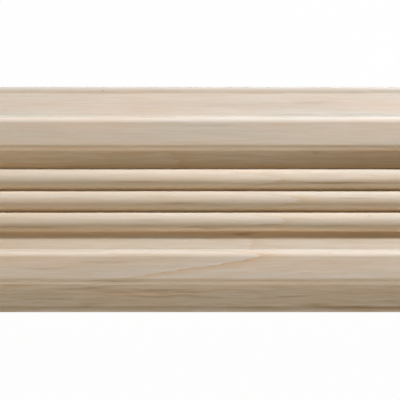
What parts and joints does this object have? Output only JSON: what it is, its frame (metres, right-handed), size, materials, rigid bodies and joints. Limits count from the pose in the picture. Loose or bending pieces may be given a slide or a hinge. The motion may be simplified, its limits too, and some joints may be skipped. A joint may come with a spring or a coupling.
{
  "type": "architrave moulding",
  "caption": "Flat-backed hardwood door and window casing: raised rounded bands and shallow slopes on both sides of a sunk field of round reeds, in one square-cut length.",
  "frame": {"origin": "middle of the flat back, halfway along the length", "axes": "+X along the length, +Y across the width, +Z out of the moulded face"},
  "size_m": [1.2192, 0.0888, 0.0191],
  "materials": {
    "hardwood": "unfinished pale hardwood, planed and lightly sanded, with fine straight grain"
  },
  "bodies": {
    "root": {"architrave_moulding": "hardwood"}
  },
  "joints": []
}
